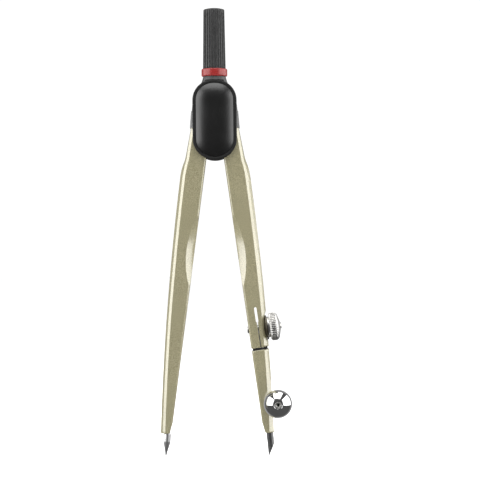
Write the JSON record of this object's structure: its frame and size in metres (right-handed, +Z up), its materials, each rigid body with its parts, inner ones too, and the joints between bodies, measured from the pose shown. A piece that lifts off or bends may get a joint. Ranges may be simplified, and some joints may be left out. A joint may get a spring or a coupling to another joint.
{
  "type": "drawing compass",
  "caption": "School drawing compass with a geared head, a fluted handle, a fixed needle leg and a leg with a clamped, removable lead insert.",
  "frame": {"origin": "tip of the needle, with the compass upright", "axes": "+Z up along the handle, +X from the needle leg to the lead leg, -Y to the front, where the ball screw is"},
  "size_m": [0.038, 0.0147, 0.1298],
  "materials": {
    "leg_paint": "metallic satin paint",
    "grip_plastic": "satin black",
    "collar_plastic": "gloss red",
    "neck_plastic": "dark grey",
    "cover_plastic": "gloss black",
    "head_plastic": "dark grey moulding",
    "steel": "satin",
    "nickel": "bright nickel",
    "chrome": "mirror",
    "brass": "turned",
    "graphite": "dull graphite"
  },
  "bodies": {
    "head": {"handle_grip": "grip_plastic", "collar_ring": "collar_plastic", "neck_cone": "neck_plastic", "fork_bracket": "steel", "fork_stem": "steel", "front_cover": "cover_plastic", "rear_cover": "cover_plastic", "left_post": "steel", "right_post": "steel", "cover_screws": "steel", "hinge_washers": "steel"},
    "needle_side": {"needle_leg": "leg_paint", "needle_leg_gear": "head_plastic", "needle_leg_bush": "brass", "needle_leg_rivets": "steel", "needle_point": "steel"},
    "lead_side": {"lead_leg": "leg_paint", "lead_leg_gear": "head_plastic", "lead_leg_bush": "brass", "lead_leg_rivets": "steel"},
    "clamp_washer": {"clamp_washer": "nickel"},
    "clamp_knob": {"clamp_knob": "nickel", "clamp_screw": "nickel"},
    "insert": {"insert_arm": "leg_paint", "insert_shank": "nickel", "insert_spacer": "head_plastic", "ball_stud": "chrome"},
    "ball_washer": {"ball_washer": "chrome"},
    "ball_knob": {"ball_knob": "chrome"},
    "lead": {"lead": "graphite"}
  },
  "joints": [
    {"name": "needle_leg_hinge", "type": "hinge", "parent": "head", "child": "needle_side", "pos_m": [0.01185, 0, 0.1012], "axis": [0, 1, 0], "range_deg": [-7.5, 42]},
    {"name": "lead_leg_hinge", "type": "hinge", "parent": "head", "child": "lead_side", "pos_m": [0.01825, 0, 0.1012], "axis": [0, 1, 0], "range_deg": [-42, 7.5]},
    {"name": "clamp_travel", "type": "slide", "parent": "lead_side", "child": "clamp_washer", "axis": [0.9907, 0, 0.1357], "range_m": [0, 0.0008]},
    {"name": "clamp_turn", "type": "hinge", "parent": "clamp_washer", "child": "clamp_knob", "pos_m": [0.0271, 0, 0.0369], "axis": [0.9907, 0, 0.1357], "range_deg": [0, 720]},
    {"name": "insert_slide", "type": "slide", "parent": "lead_side", "child": "insert", "axis": [0.1357, 0, -0.9907], "range_m": [0, 0.005]},
    {"name": "ball_travel", "type": "slide", "parent": "insert", "child": "ball_washer", "axis": [0, -1, 0], "range_m": [0, 0.0008]},
    {"name": "ball_turn", "type": "hinge", "parent": "ball_washer", "child": "ball_knob", "pos_m": [0.0325, 0, 0.0156], "axis": [0, -1, 0], "range_deg": [0, 720]},
    {"name": "lead_slide", "type": "slide", "parent": "insert", "child": "lead", "axis": [0.0958, 0, -0.9954], "range_m": [-0.004, 0.01]}
  ],
  "couplings": [
    {"joint": "lead_leg_hinge", "follows": "needle_leg_hinge", "ratio": -1},
    {"joint": "clamp_turn", "follows": "clamp_travel", "rad_per_m": 15708},
    {"joint": "ball_turn", "follows": "ball_travel", "rad_per_m": 15708}
  ]
}
